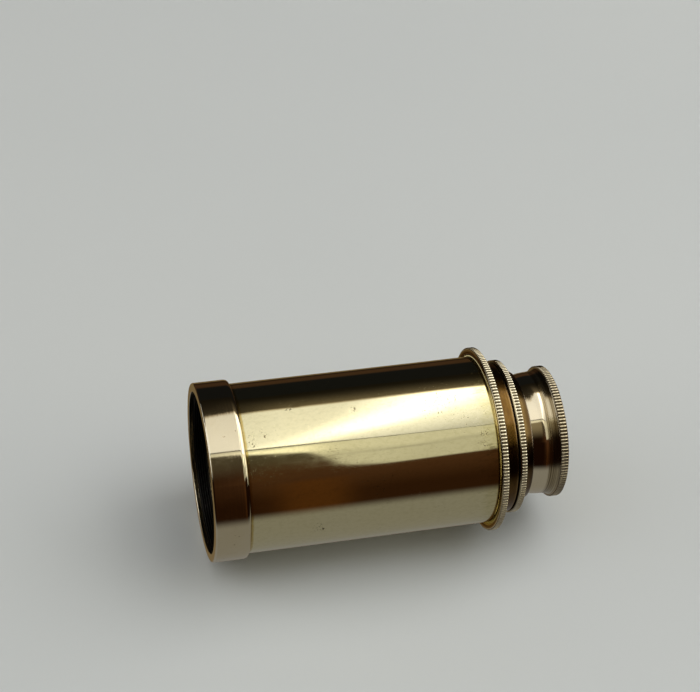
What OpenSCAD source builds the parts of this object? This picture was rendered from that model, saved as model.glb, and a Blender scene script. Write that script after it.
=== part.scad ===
// Two-draw hand telescope of lacquered brass, shown pushed closed.
// The optical axis lies along +X: x = 0 is the plane of the objective rim,
// the eye end is at +X, and +Z is up. All sizes are in millimetres.

/* [Barrel] */
// Outer diameter of the barrel tube
barrel_d = 36.3; // [35.5:0.1:38]
// Wall of the barrel tube
barrel_wall = 0.8; // [0.6:0.05:1]
// Distance from the objective rim to the end of the barrel tube
barrel_end = 60.8; // [60:0.1:66]

/* [Objective end] */
// Radial thickness of the bezel over the barrel
bezel_over = 1.01; // [0.9:0.01:1.4]
// Width of the bezel along the axis
bezel_w = 7.47; // [6.8:0.01:9]
// Rounding of the bezel's front edge
bezel_front_round = 0.35; // [0.2:0.05:0.6]
// Rounding of the bezel's back edge
bezel_back_round = 0.6; // [0.3:0.05:0.8]
// Radius of the crown lens's front surface
crown_front_r = 75; // [70:1:90]
// Radius of the cemented surface between crown and flint
cement_r = 65; // [60:1:80]

/* [Knurled rings] */
// Diameter of the barrel collar's knurled ring
ring_1_d = 40.14; // [39.8:0.02:41.5]
// Diameter of the first draw's knurled ring
ring_2_d = 33.52; // [33.3:0.02:34.4]
// Diameter of the eye cap's knurled ring
ring_3_d = 28.8; // [28.4:0.02:29.6]
// Teeth on the barrel collar
teeth_1 = 170; // [120:1:200]
// Teeth on the first draw's collar
teeth_2 = 146; // [100:1:170]
// Teeth on the eye cap
teeth_3 = 122; // [90:1:150]
// Depth of a knurl groove
knurl_depth = 0.30; // [0.15:0.01:0.35]

/* [Draws] */
// Outer diameter of the first draw tube
draw_1_d = 30.2; // [30:0.05:30.4]
// Wall of the first draw tube
draw_1_wall = 0.7; // [0.6:0.05:0.75]
// Outer diameter of the second draw tube
draw_2_d = 25.2; // [25:0.05:25.3]
// Wall of the second draw tube
draw_2_wall = 0.6; // [0.5:0.05:0.65]
// Clearance between a draw and the tube or felt it runs in
run_gap = 0.05; // [0.03:0.01:0.08]

/* [Eyepiece] */
// Diameter of the eye hole
eye_hole_d = 6.4; // [4:0.1:8]
// Depth of the dish in the eye cap
eye_dish = 1.3; // [0.8:0.1:1.4]
// Swell of the cup from its neck to the eye cap
cup_flare = 1.1; // [0.9:0.05:1.2]

/* [Hidden] */
$fn = 96;
brass = [0.83, 0.74, 0.42];
pale_brass = [0.86, 0.78, 0.62];
black = [0.06, 0.055, 0.05];
felt = [0.10, 0.10, 0.12];
lens = [0.80, 0.90, 0.92, 0.35];

barrel_r = barrel_d / 2;
barrel_ir = barrel_r - barrel_wall;
bezel_r = barrel_r + bezel_over;
recess_r = barrel_ir - 0.05;      // plain recess in front of the thread
thread_r = recess_r - 0.1;        // root of the internal thread
thread_minor = thread_r - 0.32;   // crest of the internal thread
thread_x = 1.2;
thread_pitch = 0.5;
cell_x = 3.4;                     // front of the barrel tube and of the cell
cell_len = 7.2;
lens_1_r = 16.05;
crown_x = 4.2;
crown_t = 4.6;
flint_t = 1.0;

ring_1_x = barrel_end;
ring_1_w = 1.45;
neck_1_end = ring_1_x + 4.65;
neck_1_r = ring_1_d / 2 - 3.63;
sleeve_1_x = ring_1_x - 5.8;
draw_1_r = draw_1_d / 2;
draw_1_ir = draw_1_r - draw_1_wall;
draw_1_x = 12.6;
draw_1_end = neck_1_end + 0.15;
felt_1_or = draw_1_r + 0.6;

ring_2_x = draw_1_end;
ring_2_w = 1.6;
neck_2_end = ring_2_x + 3.9;
neck_2_r = ring_2_d / 2 - 2.76;
sleeve_2_x = ring_2_x - 5.6;
draw_2_r = draw_2_d / 2;
draw_2_ir = draw_2_r - draw_2_wall;
draw_2_x = 18.5;
felt_2_or = draw_2_r + 0.6;

cup_x = neck_2_end + 0.3;
draw_2_end = cup_x + 1.6;
cup_r = draw_2_r + 0.3;
cap_x = ring_2_x + 9.8;
cap_w = 1.8;
eye_end = cap_x + cap_w;
rim_r = ring_3_d / 2 - 1.5;       // inner edge of the flat rim round the dish
cap_bore = 12.3;                  // inside of the cup, where the cap screws in
insert_r = draw_2_ir;             // erector and eyepiece tubes fit the second draw
insert_ir = insert_r - 0.8;
shoulder_r = insert_ir - 0.6;
erector_x = 18.7;
erector_len = 19;
eyepiece_x = draw_2_end - 21.4;
eyepiece_len = 18;
small_lens_r = insert_ir - 0.05;
small_R = 22;
small_t = 3.6;
// from the flat side of a small lens to where its bulge meets a seat of radius h
function seat(h) = small_t - sag(small_R, h) + 0.01;
eye_lens_r = 8.25;
eye_lens_R = 16;
eye_lens_t = 2.9;
seat_x = cap_x - 0.8;             // plane that the eye lens lies against

// lays a shape turned about Z along the optical axis, starting at x
module along(x = 0) rotate([0, 90, 0]) translate([0, 0, x]) children();

// a body turned from a list of [radius, x] points
module turned(pts) along() rotate_extrude() polygon(pts);

// a plain ring from x0 to x1
module ring(x0, x1, ri, ro) along() rotate_extrude()
    translate([ri, x0]) square([ro - ri, x1 - x0]);

// outline of a straight knurl: flat crests with V grooves between them
function knurl_pts(r, n, d) = [for (i = [0 : n - 1]) for (k = [0 : 2])
    let (a = (i + [0, 0.30, 0.70][k]) * 360 / n, q = k == 0 ? r - d : r)
    [q * cos(a), q * sin(a)]];

// a knurled band from x0 to x1
module knurl(x0, x1, r, n, d) along(x0) linear_extrude(x1 - x0)
    polygon(knurl_pts(r, n, d));

// quarter round in an outline: centre, radius, first and last angle
function arc(c, r, a0, a1, n = 5) = [for (i = [0 : n])
    let (a = a0 + (a1 - a0) * i / n) c + r * [cos(a), sin(a)]];

// sag of a spherical surface of radius R at height h
function sag(R, h) = R - sqrt(R * R - h * h);

// ball whose surface crosses the axis at x = vertex, on its side facing -x
module ball(vertex, R) translate([vertex + R, 0, 0]) sphere(r = R);

// plano-convex lens of the erector and the eyepiece; bulge = -1 or 1 along x
module plano_lens(x, bulge, r, R, t) intersection() {
    along(x) cylinder(r = r, h = t);
    if (bulge < 0) ball(x, R); else ball(x + t - 2 * R, R);
}

// collar of a tube: sleeve, knurled ring, smooth neck, and a bore with a felt pocket;
// s0 and s1 are the smooth widths of the ring on each side of its teeth, and with rim
// the first of them is a plain rim nearly as high as the teeth
module collar(x_sleeve, x_ring, w, x_neck, ring_r, teeth, sleeve_r, neck_r, taper,
        pocket_r, lip_r, s0, s1, rim = false) difference() {
    base_r = ring_r - knurl_depth + 0.06;
    rim_top = ring_r - 0.02;
    union() {
        knurl(x_ring + s0, x_ring + w - s1, ring_r, teeth, knurl_depth);
        turned(concat([[0, x_sleeve], [sleeve_r - 0.3, x_sleeve], [sleeve_r, x_sleeve + 0.3],
            [sleeve_r, x_ring]],
            rim ? concat(arc([rim_top - 0.15, x_ring + 0.15], 0.15, -90, 0),
                    [[rim_top, x_ring + s0], [base_r, x_ring + s0]])
                : [[base_r - 0.9 * s0, x_ring], [base_r, x_ring + s0]],
            [[base_r, x_ring + w - s1], [base_r - 0.9 * s1, x_ring + w],
            [neck_r + taper, x_ring + w], [neck_r, x_neck - 0.35],
            [neck_r - 0.1, x_neck - 0.1], [neck_r - 0.35, x_neck], [0, x_neck]]));
    }
    turned([[0, x_sleeve - 1], [lip_r, x_sleeve - 1], [lip_r, x_sleeve + 1],
        [pocket_r, x_sleeve + 1], [pocket_r, x_neck - 0.7], [lip_r, x_neck - 0.7],
        [lip_r, x_neck + 1], [0, x_neck + 1]]);
}

// ---- barrel ----

module barrel_tube() color(brass) ring(cell_x, barrel_end, barrel_ir, barrel_r);

// pale bezel over the front of the barrel, threaded inside behind a plain recess
module objective_bezel() {
    n = floor((cell_x - 0.2 - thread_x) / thread_pitch);
    front = bezel_front_round;
    back = bezel_back_round;
    color(pale_brass) turned(concat(
        arc([bezel_r - front, front], front, -90, 0),
        arc([bezel_r - back, bezel_w - back], back, 0, 90, 7),
        [[barrel_r, bezel_w], [barrel_r, cell_x], [thread_minor, cell_x]],
        [for (i = [n - 1 : -1 : 0]) for (k = [2 : -1 : 0])
            [[thread_minor, thread_r, thread_minor][k],
             thread_x + i * thread_pitch + [0.06, 0.28, 0.46][k]]],
        [[thread_minor, thread_x], [recess_r, thread_x], [recess_r, 0]]));
}

// blackened cell with the lens seat at its back
module objective_cell() color(black) turned([
    [lens_1_r + 0.05, cell_x], [barrel_ir, cell_x], [barrel_ir, cell_x + cell_len],
    [14.8, cell_x + cell_len], [14.8, cell_x + cell_len - 0.4],
    [15.2, crown_x + crown_t + flint_t], [lens_1_r + 0.05, crown_x + crown_t + flint_t]]);

// both sides bulge, the front one towards the rim
module objective_crown_lens() color(lens) turned(concat(
    [for (i = [0 : 8]) [lens_1_r * i / 8, crown_x + sag(crown_front_r, lens_1_r * i / 8)]],
    [for (i = [8 : -1 : 0])
        [lens_1_r * i / 8, crown_x + crown_t - sag(cement_r, lens_1_r * i / 8)]]));

// the hollow front takes the crown lens; the back is flat
module objective_flint_lens() color(lens) turned(concat(
    [for (i = [0 : 8])
        [lens_1_r * i / 8, crown_x + crown_t - sag(cement_r, lens_1_r * i / 8)]],
    [[lens_1_r, crown_x + crown_t + flint_t], [0, crown_x + crown_t + flint_t]]));

// threaded ring with two spanner slots
module objective_retaining_ring() color(black) difference() {
    ring(crown_x - 0.2, crown_x + sag(crown_front_r, 14.9) - 0.01, 14.9, lens_1_r + 0.05);
    for (s = [-1, 1]) translate([crown_x - 0.5, s * 15.5 - 1, -0.6]) cube([1, 2, 1.2]);
}

// stops stray light behind the objective
module barrel_baffle() color(black) turned([
    [12.5, 11.2], [barrel_ir, 11.2], [barrel_ir, 11.9], [15.5, 11.9], [12.5, 11.5]]);

// knurled ring and neck that the first draw slides through
module barrel_collar() color(pale_brass)
    collar(sleeve_1_x, ring_1_x, ring_1_w, neck_1_end, ring_1_d / 2, teeth_1,
        barrel_ir, neck_1_r, 0.45, felt_1_or, draw_1_r + 0.1, 0.06, 0.14);

module barrel_collar_felt() color(felt)
    ring(sleeve_1_x + 1, neck_1_end - 0.7, draw_1_r + run_gap - 0.01, felt_1_or);

// ---- first draw ----

module draw_1_tube() color(brass) ring(draw_1_x, draw_1_end, draw_1_ir, draw_1_r);

// runs inside the barrel and meets the collar's sleeve when the draw is out
module draw_1_stop_ring() color(brass) turned([
    [draw_1_r, draw_1_x], [barrel_ir - run_gap - 0.25, draw_1_x],
    [barrel_ir - run_gap, draw_1_x + 0.25], [barrel_ir - run_gap, draw_1_x + 4.15],
    [barrel_ir - run_gap - 0.25, draw_1_x + 4.4], [draw_1_r, draw_1_x + 4.4]]);

module draw_1_baffle() color(black) turned([
    [8.5, draw_1_x + 0.5], [draw_1_ir, draw_1_x + 0.5], [draw_1_ir, draw_1_x + 1.2],
    [12, draw_1_x + 1.2], [8.5, draw_1_x + 0.8]]);

// its raised inner ring meets the barrel collar when the draw is in
module draw_1_collar() color(pale_brass) union() {
    collar(sleeve_2_x, ring_2_x, ring_2_w, neck_2_end, ring_2_d / 2, teeth_2,
        draw_1_ir, neck_2_r, 0.7, felt_2_or, draw_2_r + 0.1, 0.40, 0.08, true);
    ring(ring_2_x - 0.13, ring_2_x + 0.2, draw_1_r, draw_1_r + 0.7);
}

module draw_1_collar_felt() color(felt)
    ring(sleeve_2_x + 1, neck_2_end - 0.7, draw_2_r + run_gap - 0.01, felt_2_or);

// ---- second draw ----

module draw_2_tube() color(brass) ring(draw_2_x, draw_2_end, draw_2_ir, draw_2_r);

module draw_2_stop_ring() color(brass) turned([
    [draw_2_r, draw_2_x], [draw_1_ir - run_gap - 0.2, draw_2_x],
    [draw_1_ir - run_gap, draw_2_x + 0.2], [draw_1_ir - run_gap, draw_2_x + 3.3],
    [draw_1_ir - run_gap - 0.2, draw_2_x + 3.5], [draw_2_r, draw_2_x + 3.5]]);

// carries the two lenses that turn the image upright
module erector_tube() color(black) {
    a = erector_x + 1.2 + seat(shoulder_r);
    b = erector_x + erector_len - 1.2 - seat(shoulder_r);
    turned([[insert_ir, erector_x], [insert_r, erector_x],
        [insert_r, erector_x + erector_len], [insert_ir, erector_x + erector_len],
        [insert_ir, b], [shoulder_r, b], [shoulder_r, a], [insert_ir, a]]);
}

module erector_front_lens() color(lens)
    plano_lens(erector_x + 1.2, 1, small_lens_r, small_R, small_t);

module erector_front_ring() color(black)
    ring(erector_x + 0.2, erector_x + 1.2, insert_ir - 1.2, insert_ir);

module erector_stop() color(black)
    ring(erector_x + 9.2, erector_x + 9.8, 2.5, shoulder_r);

module erector_rear_lens() color(lens)
    plano_lens(erector_x + erector_len - 1.2 - small_t, -1, small_lens_r, small_R, small_t);

module erector_rear_ring() color(black)
    ring(erector_x + erector_len - 1.2, erector_x + erector_len - 0.2, insert_ir - 1.2,
        insert_ir);

// carries the field lens and the field stop
module eyepiece_tube() color(black) {
    a = eyepiece_x + 4.8;
    turned([[insert_ir, eyepiece_x], [insert_r, eyepiece_x],
        [insert_r, eyepiece_x + eyepiece_len], [shoulder_r, eyepiece_x + eyepiece_len],
        [shoulder_r, a], [insert_ir, a]]);
}

module field_lens() color(lens)
    plano_lens(eyepiece_x + 4.8 - small_t, -1, small_lens_r, small_R, small_t);

module field_lens_ring() color(black) {
    a = eyepiece_x + 4.8 - seat(insert_ir - 1.2);
    ring(a - 1, a, insert_ir - 1.2, insert_ir);
}

module field_stop() color(black)
    ring(eyepiece_x + 10, eyepiece_x + 10.6, 4, shoulder_r);

// polished cup: a swell that levels off to a soft crest, then a flare up to the cap
module eyepiece_cup() color(pale_brass) {
    crest = cup_x + 3.4;
    turned(concat(
        [[draw_2_r, cup_x - 0.28], [cup_r - 0.04, cup_x - 0.28], [cup_r + 0.04, cup_x - 0.05],
         [cup_r + 0.114, cup_x + 0.4], [cup_r + 0.247, cup_x + 1.2],
         [cup_r + 0.371, cup_x + 2], [cup_r + 0.443, cup_x + 2.6],
         [cup_r + 0.467, cup_x + 3], [cup_r + 0.472, crest]],
        [for (i = [1 : 5]) [cup_r + 0.472 + (cup_flare - 0.472) * pow(i / 5, 1.75),
            crest + (cap_x - crest) * i / 5]],
        [[cap_bore, cap_x], [cap_bore, draw_2_end], [draw_2_r, draw_2_end]]));
}

// knurled cap with a dished face and the eye hole
module eye_cap() {
    h = eye_hole_d / 2;
    R = ring_3_d / 2;
    color(pale_brass) union() {
        difference() {
            knurl(cap_x + 0.06, eye_end - 0.2, R, teeth_3, knurl_depth);
            along(cap_x - 1) cylinder(r = rim_r - 0.4, h = cap_w + 2);
        }
        turned(concat(
            [for (i = [0 : 8]) let (r = h + (rim_r - h) * i / 8)
                [r, eye_end - eye_dish * (1 - pow((r - h) / (rim_r - h), 2.5))]],
            [[R - knurl_depth - 0.2, eye_end], [R - knurl_depth + 0.06, eye_end - 0.2],
             [R - knurl_depth + 0.06, cap_x + 0.06], [R - knurl_depth, cap_x],
             [cap_bore, cap_x], [cap_bore, cap_x - 3.4], [cap_bore - 0.9, cap_x - 3.4],
             [cap_bore - 0.9, cap_x - 0.2], [eye_lens_r + 0.95, cap_x - 0.2],
             [eye_lens_r + 0.95, cap_x - 3.2], [eye_lens_r + 0.05, cap_x - 3.2],
             [eye_lens_r + 0.05, seat_x], [h, seat_x]]));
    }
}

module eye_lens() color(lens)
    plano_lens(seat_x - eye_lens_t, -1, eye_lens_r, eye_lens_R, eye_lens_t);

module eye_lens_ring() color(black)
    ring(seat_x - 2.2, seat_x - eye_lens_t + sag(eye_lens_R, eye_lens_r - 1) - 0.01,
        eye_lens_r - 1, eye_lens_r + 0.05);

barrel_tube();
objective_bezel();
objective_cell();
objective_crown_lens();
objective_flint_lens();
objective_retaining_ring();
barrel_baffle();
barrel_collar();
barrel_collar_felt();
draw_1_tube();
draw_1_stop_ring();
draw_1_baffle();
draw_1_collar();
draw_1_collar_felt();
draw_2_tube();
draw_2_stop_ring();
erector_tube();
erector_front_lens();
erector_front_ring();
erector_stop();
erector_rear_lens();
erector_rear_ring();
eyepiece_tube();
field_lens();
field_lens_ring();
field_stop();
eyepiece_cup();
eye_cap();
eye_lens();
eye_lens_ring();
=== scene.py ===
import math

import bmesh
import bpy
import numpy as np
from mathutils import Matrix, Vector


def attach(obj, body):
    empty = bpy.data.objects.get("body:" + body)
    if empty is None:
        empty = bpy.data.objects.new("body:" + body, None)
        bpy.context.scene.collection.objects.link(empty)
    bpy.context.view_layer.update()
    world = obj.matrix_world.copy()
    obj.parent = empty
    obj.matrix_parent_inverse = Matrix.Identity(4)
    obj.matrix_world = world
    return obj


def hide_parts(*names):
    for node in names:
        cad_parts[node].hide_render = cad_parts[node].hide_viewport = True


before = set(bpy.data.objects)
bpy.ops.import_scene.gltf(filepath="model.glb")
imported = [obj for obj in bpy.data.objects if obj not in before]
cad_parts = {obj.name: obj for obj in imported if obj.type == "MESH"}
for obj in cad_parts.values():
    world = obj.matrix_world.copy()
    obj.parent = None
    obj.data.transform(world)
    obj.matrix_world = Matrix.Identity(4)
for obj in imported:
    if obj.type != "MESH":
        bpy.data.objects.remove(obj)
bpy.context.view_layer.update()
MM = 0.001
scene = bpy.context.scene

# ---------------------------------------------------------------- camera

cam = bpy.data.objects.new("camera", bpy.data.cameras.new("camera"))
scene.collection.objects.link(cam)
cam.data.sensor_width = 36.0
cam.data.lens = 36.0 * 1836 / 700
cam.data.clip_start, cam.data.clip_end = 0.01, 20.0
right = Vector((0.975403, -0.214203, 0.052022))
up = Vector((0.108313, 0.671293, 0.733236))
ahead = Vector((0.191984, 0.709565, -0.677982))
turn = Matrix((right, up, -ahead)).transposed()
cam.matrix_world = Matrix.Translation((-0.041044, -0.265194, 0.285561)) @ turn.to_4x4()
scene.camera = cam
scene.view_settings.view_transform = "Standard"
scene.view_settings.look = "None"


# ---------------------------------------------------------------- node helpers

class Graph:
    """A small writer of shader nodes. Sockets and plain numbers can stand for each other."""

    def __init__(self, name, tree=None):
        if tree is None:
            self.material = bpy.data.materials.new(name)
            self.material.use_nodes = True
            tree = self.material.node_tree
        self.tree = tree
        tree.nodes.clear()
        self.count = 0

    def node(self, kind, **props):
        n = self.tree.nodes.new(kind)
        self.count += 1
        n.location = (200 * (self.count // 6), -180 * (self.count % 6))
        for k, v in props.items():
            setattr(n, k, v)
        return n

    def put(self, socket, value):
        if isinstance(value, bpy.types.NodeSocket):
            self.tree.links.new(value, socket)
        elif isinstance(value, (tuple, list)) and len(value) == 3 and socket.type == "RGBA":
            socket.default_value = (*value, 1.0)
        else:
            socket.default_value = value

    def math(self, op, a, b=0.0, c=0.0, clamp=False):
        n = self.node("ShaderNodeMath", operation=op, use_clamp=clamp)
        for s, v in zip(n.inputs, (a, b, c)):
            self.put(s, v)
        return n.outputs[0]

    def scaled(self, vector, by):
        n = self.node("ShaderNodeVectorMath", operation="MULTIPLY")
        self.put(n.inputs[0], vector)
        self.put(n.inputs[1], by)
        return n.outputs[0]

    def moved(self, vector, by):
        n = self.node("ShaderNodeVectorMath", operation="ADD")
        self.put(n.inputs[0], vector)
        self.put(n.inputs[1], by)
        return n.outputs[0]

    def noise(self, vector, scale, detail=3.0, rough=0.5, distortion=0.0):
        n = self.node("ShaderNodeTexNoise", noise_dimensions="3D")
        self.put(n.inputs["Vector"], vector)
        self.put(n.inputs["Scale"], scale)
        self.put(n.inputs["Detail"], detail)
        self.put(n.inputs["Roughness"], rough)
        self.put(n.inputs["Distortion"], distortion)
        return n.outputs[0]

    def node_colour(self, vector, scale):
        """Noise as a vector round zero."""
        n = self.node("ShaderNodeTexNoise", noise_dimensions="3D")
        self.put(n.inputs["Vector"], vector)
        self.put(n.inputs["Scale"], scale)
        return self.moved(n.outputs["Color"], (-0.5, -0.5, -0.5))

    def cells(self, vector, scale, feature="F1"):
        n = self.node("ShaderNodeTexVoronoi", feature=feature)
        self.put(n.inputs["Vector"], vector)
        self.put(n.inputs["Scale"], scale)
        return n.outputs["Distance"], n.outputs["Color"] if feature == "F1" else None

    def fit(self, value, a, b, lo=0.0, hi=1.0, smooth=True):
        n = self.node("ShaderNodeMapRange",
                      interpolation_type="SMOOTHSTEP" if smooth else "LINEAR", clamp=True)
        for s, v in zip(n.inputs, (value, a, b, lo, hi)):
            self.put(s, v)
        return n.outputs[0]

    def along(self, value, points):
        """A broken line through the points (value, result)."""
        total = points[0][1]
        for (a, p), (b, q) in zip(points, points[1:]):
            if p != q:
                total = self.math("ADD", total, self.fit(value, a, b, 0.0, q - p, smooth=False))
        return total

    def times(self, colour, by):
        n = self.node("ShaderNodeVectorMath", operation="SCALE")
        self.put(n.inputs[0], colour)
        self.put(n.inputs["Scale"], by)
        return n.outputs[0]

    def blend(self, fac, a, b, mode="MIX"):
        n = self.node("ShaderNodeMix", data_type="RGBA", blend_type=mode)
        self.put(n.inputs[0], fac)
        self.put(n.inputs[6], a)
        self.put(n.inputs[7], b)
        return n.outputs[2]

    def lerp(self, fac, a, b):
        n = self.node("ShaderNodeMix", data_type="FLOAT")
        self.put(n.inputs[0], fac)
        self.put(n.inputs[2], a)
        self.put(n.inputs[3], b)
        return n.outputs[0]

    def bump(self, height, distance, strength=1.0, normal=None):
        n = self.node("ShaderNodeBump")
        self.put(n.inputs["Height"], height)
        self.put(n.inputs["Strength"], strength)
        self.put(n.inputs["Distance"], distance)
        if normal is not None:
            self.put(n.inputs["Normal"], normal)
        return n.outputs[0]

    def shader(self, **sockets):
        p = self.node("ShaderNodeBsdfPrincipled")
        for k, v in sockets.items():
            self.put(p.inputs[k.replace("_", " ")], v)
        o = self.node("ShaderNodeOutputMaterial")
        self.tree.links.new(p.outputs[0], o.inputs["Surface"])
        return p

    def place(self):
        """Object coordinates, and in millimetres the place along the axis and from it."""
        at = self.node("ShaderNodeTexCoord").outputs["Object"]
        parts = self.node("ShaderNodeSeparateXYZ")
        self.put(parts.inputs[0], at)
        x, y, z = parts.outputs
        r = self.math("SQRT", self.math("ADD", self.math("MULTIPLY", y, y),
                                        self.math("MULTIPLY", z, z)))
        return at, self.math("MULTIPLY", x, 1000.0), self.math("MULTIPLY", r, 1000.0)

    def wear(self):
        """The piece's own record of its crevices and of its outer edges, from 0 to 1."""
        a = self.node("ShaderNodeAttribute", attribute_name="wear")
        parts = self.node("ShaderNodeSeparateXYZ")
        self.put(parts.inputs[0], a.outputs["Vector"])
        return parts.outputs[0], parts.outputs[1]


# ---------------------------------------------------------------- materials

def lacquered_brass(name, outer, lacquer_ends, tint=(0.83, 0.762, 0.487), spots=1.0, drag=0.0,
                    worn=()):
    """Drawn brass tube under clear lacquer: yellow-green, with faint draw lines, small pits where
    the lacquer has let go, thick golden lacquer at its ends, and a blackened inside.
    lacquer_ends = (x mm, width of the gold, width of the brown corner, colour); worn = places
    with more pits: (x mm, angle from straight up towards -Y, size mm, strength)."""
    g = Graph(name)
    at, x, r = g.place()
    crevice, edge = g.wear()
    inside = g.fit(r, outer - 0.25, outer - 0.12, 1.0, 0.0)

    # slow change of hue, then faint cloudiness of the lacquer
    drift = g.noise(g.moved(at, (0.31, 0.07, 0.0)), 34.0, 3.0, 0.55)
    cloud = g.noise(g.scaled(at, (120.0, 260.0, 260.0)), 1.0, 5.0, 0.62)
    colour = g.blend(g.fit(drift, 0.36, 0.66, 0.0, 0.5), tint,
                     (tint[0] * 0.985, tint[1] * 0.96, tint[2] * 0.88))
    colour = g.blend(g.fit(cloud, 0.5, 0.78, 0.0, 0.22), colour,
                     (tint[0] * 0.93, tint[1] * 0.93, tint[2] * 0.95))

    # draw lines along the tube
    lines = g.noise(g.scaled(at, (26.0, 2300.0, 2300.0)), 1.0, 4.0, 0.6)
    colour = g.blend(g.fit(lines, 0.56, 0.8, 0.0, 0.10), colour,
                     (tint[0] * 0.78, tint[1] * 0.74, tint[2] * 0.6))

    # golden lacquer that ran together at the ends, brown in the very corner
    ragged = g.math("MULTIPLY", g.math("SUBTRACT", g.noise(at, 620.0, 4.0, 0.6), 0.5), 0.8)
    built, corner = 0.0, 0.0
    for place, width, narrow, gold in lacquer_ends:
        off = g.math("ABSOLUTE", g.math("SUBTRACT", x, place))
        close = g.fit(off, narrow * 0.4, narrow, 1.0, 0.0)
        off = g.math("ADD", off, g.math("MULTIPLY", ragged, width))
        here = g.fit(off, width * 0.45, width, 1.0, 0.0)
        colour = g.blend(g.math("MULTIPLY", here, 0.9), colour, gold)
        built = here if built == 0.0 else g.math("MAXIMUM", built, here)
        corner = close if corner == 0.0 else g.math("MAXIMUM", corner, close)
    colour = g.blend(g.math("MULTIPLY", corner, 0.85), colour, (0.17, 0.085, 0.02))

    # pits: small dark specks in loose groups
    group = g.noise(g.moved(at, (0.0, 0.4, 0.12)), 105.0, 2.0, 0.5)
    at_ends = g.math("MAXIMUM", g.fit(x, lacquer_ends[0][0] + 3.0, lacquer_ends[0][0] + 13.0,
                                      0.09, 0.0),
                     g.fit(x, lacquer_ends[-1][0] - 9.0, lacquer_ends[-1][0] - 2.0, 0.0, 0.09))
    group = g.fit(g.math("ADD", group, at_ends), 0.52, 0.70, 0.0, 0.6)
    spoilt = 0.0
    for place, angle, size, strength in worn:
        a = math.radians(angle)
        far = g.node("ShaderNodeVectorMath", operation="DISTANCE")
        g.put(far.inputs[0], at)
        far.inputs[1].default_value = (place * MM, -outer * MM * math.sin(a),
                                       outer * MM * math.cos(a))
        here = g.fit(far.outputs["Value"], size * MM * 0.35, size * MM, strength, 0.0)
        group = g.math("MAXIMUM", group, here)
        spoilt = here if spoilt == 0.0 else g.math("MAXIMUM", spoilt, here)
    wander = g.moved(at, g.scaled(g.node_colour(at, 1500.0), (0.0004, 0.0004, 0.0004)))
    fine_edge = g.math("MULTIPLY", g.math("SUBTRACT", g.noise(at, 5200.0, 3.0, 0.6), 0.5), 0.16)
    pit = None
    for scale, most, power in ((1500.0, 0.30, 1.3), (2500.0, 0.30, 1.7)):
        far, tone = g.cells(g.moved(wander, (scale * 1e-5, 0.013, 0.021)), scale)
        pick = g.node("ShaderNodeSeparateColor")
        g.put(pick.inputs[0], tone)
        size = g.math("MULTIPLY", g.math("POWER", pick.outputs[0], power), most * spots)
        here = g.fit(g.math("SUBTRACT", g.math("ADD", far, fine_edge),
                            g.math("MULTIPLY", size, group)), 0.0, 0.07, 1.0, 0.0)
        here = g.math("MULTIPLY", here, g.fit(group, 0.03, 0.25))
        pit = here if pit is None else g.math("MAXIMUM", pit, here)
    if worn:  # marks a few tenths of a millimetre long, where the bare brass has gone dark
        marks = g.noise(g.scaled(wander, (2700.0, 1700.0, 1700.0)), 1.0, 2.0, 0.5, 0.9)
        marks = g.fit(g.math("ADD", marks, g.math("MULTIPLY", spoilt, 0.15)), 0.685, 0.725)
        pit = g.math("MAXIMUM", pit, g.math("MULTIPLY", marks, g.fit(spoilt, 0.05, 0.35)))
    colour = g.blend(g.math("MULTIPLY", pit, 0.9), colour, (0.11, 0.075, 0.025))

    # stains: greenish dull patches drawn out along the tube, round the pits and near the ends
    stain = g.noise(g.scaled(g.moved(at, (0.2, 0.0, 0.3)), (420.0, 1500.0, 1500.0)), 1.0, 5.0, 0.65)
    near_end = g.fit(x, lacquer_ends[-1][0] - 7.0, lacquer_ends[-1][0] - 1.5, 0.0, 0.9)
    stain = g.math("MULTIPLY", g.fit(stain, 0.50, 0.66),
                   g.math("MAXIMUM", g.math("MULTIPLY", group, 0.45), near_end))
    colour = g.blend(g.math("MULTIPLY", stain, 0.5), colour,
                     (tint[0] * 0.56, tint[1] * 0.57, tint[2] * 0.42))
    # the last millimetres are yellower and a little duller, finely mottled
    mottle = g.noise(g.scaled(g.moved(at, (0.0, 0.2, 0.1)), (900.0, 1500.0, 1500.0)), 1.0, 5.0, 0.7)
    late = g.math("MULTIPLY", g.fit(x, lacquer_ends[-1][0] - 4.5, lacquer_ends[-1][0] - 1.2),
                  g.fit(mottle, 0.38, 0.62, 0.45, 1.0))
    colour = g.blend(g.math("MULTIPLY", late, 0.5), colour,
                     (tint[0] * 0.80, tint[1] * 0.76, tint[2] * 0.50))
    colour = g.blend(g.fit(mottle, 0.42, 0.72, 0.0, 0.36), colour,
                     (tint[0] * 0.78, tint[1] * 0.77, tint[2] * 0.68))

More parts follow.
